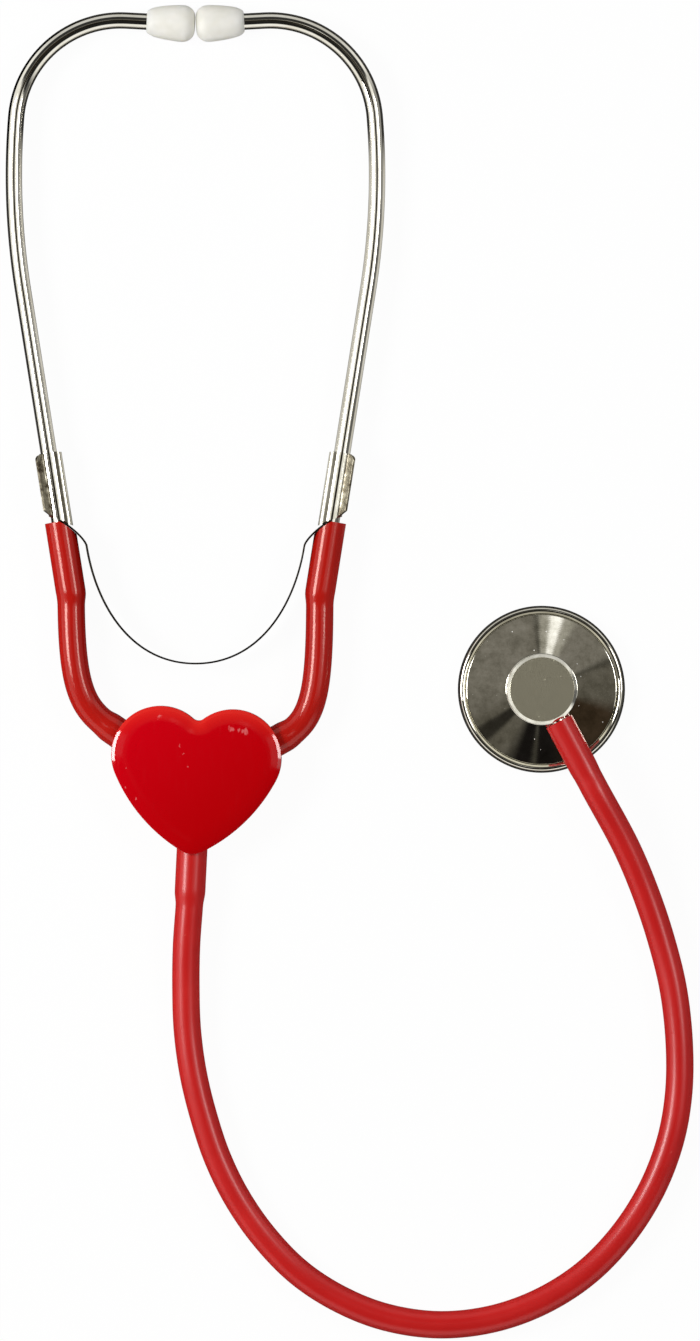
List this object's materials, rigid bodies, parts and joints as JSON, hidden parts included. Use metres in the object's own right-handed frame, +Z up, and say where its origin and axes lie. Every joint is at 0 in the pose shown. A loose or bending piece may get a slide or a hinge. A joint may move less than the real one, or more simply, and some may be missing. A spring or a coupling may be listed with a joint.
{
  "type": "toy stethoscope",
  "caption": "Toy stethoscope with bent metal ear tubes joined by a leaf spring, red hoses meeting in a plastic heart, and a round metal chestpiece on a long hose.",
  "frame": {"origin": "middle of the heart's flat back, on the table that the stethoscope lies on", "axes": "+Y up the headset to the ear tips, +X towards the chestpiece, +Z up from the table"},
  "size_m": [0.1924, 0.3734, 0.015],
  "materials": {
    "tip": "translucent white moulded plastic",
    "tube": "bright plated tube",
    "clip": "plated sheet, dull on the pinched flange",
    "leaf": "spring steel strip",
    "hose": "red flexible PVC, satin",
    "heart": "glossy red moulded plastic",
    "connector": "moulded plastic, hidden",
    "bell": "turned and polished",
    "stem": "plated tube, hidden by the hose",
    "disc": "thin plastic sheet",
    "ring": "rolled and polished"
  },
  "bodies": {
    "heart": {"heart_front": "heart", "heart_back": "heart", "y_connector": "connector", "main_hose": "hose", "left_short_hose": "hose", "right_short_hose": "hose", "leaf_spring": "leaf"},
    "left_clip": {"left_spring_clip": "clip"},
    "right_clip": {"right_spring_clip": "clip"},
    "left_ear": {"left_ear_tube": "tube"},
    "right_ear": {"right_ear_tube": "tube"},
    "left_tip": {"left_ear_tip": "tip"},
    "right_tip": {"right_ear_tip": "tip"},
    "chestpiece": {"chestpiece_body": "bell", "chestpiece_stem": "stem", "diaphragm": "disc", "diaphragm_ring": "ring"}
  },
  "joints": [
    {"name": "left_spread", "type": "hinge", "parent": "heart", "child": "left_clip", "pos_m": [-0.02089, 0.04829, 0.0055], "axis": [0, 0, 1], "range_deg": [0, 24], "stiffness_Nm_per_rad": 0.22, "springref_deg": -5.73, "deforming": ["leaf_spring", "left_short_hose"]},
    {"name": "right_spread", "type": "hinge", "parent": "heart", "child": "right_clip", "pos_m": [0.02089, 0.04829, 0.0055], "axis": [0, 0, -1], "range_deg": [0, 24], "stiffness_Nm_per_rad": 0.22, "springref_deg": -5.73, "deforming": ["right_short_hose"]},
    {"name": "left_twist", "type": "hinge", "parent": "left_clip", "child": "left_ear", "pos_m": [-0.03785, 0.07126, 0.0055], "axis": [0.1564, -0.9877, 0], "range_deg": [-30, 30]},
    {"name": "right_twist", "type": "hinge", "parent": "right_clip", "child": "right_ear", "pos_m": [0.03785, 0.07126, 0.0055], "axis": [0.1564, 0.9877, 0], "range_deg": [-30, 30]},
    {"name": "left_tip_turn", "type": "hinge", "parent": "left_ear", "child": "left_tip", "pos_m": [-0.01945, 0.21262, 0.0055], "axis": [0.9986, -0.0523, 0], "continuous": true},
    {"name": "right_tip_turn", "type": "hinge", "parent": "right_ear", "child": "right_tip", "pos_m": [0.01945, 0.21262, 0.0055], "axis": [-0.9986, -0.0523, 0], "continuous": true},
    {"name": "chestpiece_swivel", "type": "hinge", "parent": "heart", "child": "chestpiece", "pos_m": [0.0969, 0.0254, 0.011], "axis": [0.4695, -0.8829, 0], "continuous": true}
  ],
  "couplings": [
    {"joint": "right_spread", "follows": "left_spread", "ratio": 1}
  ]
}
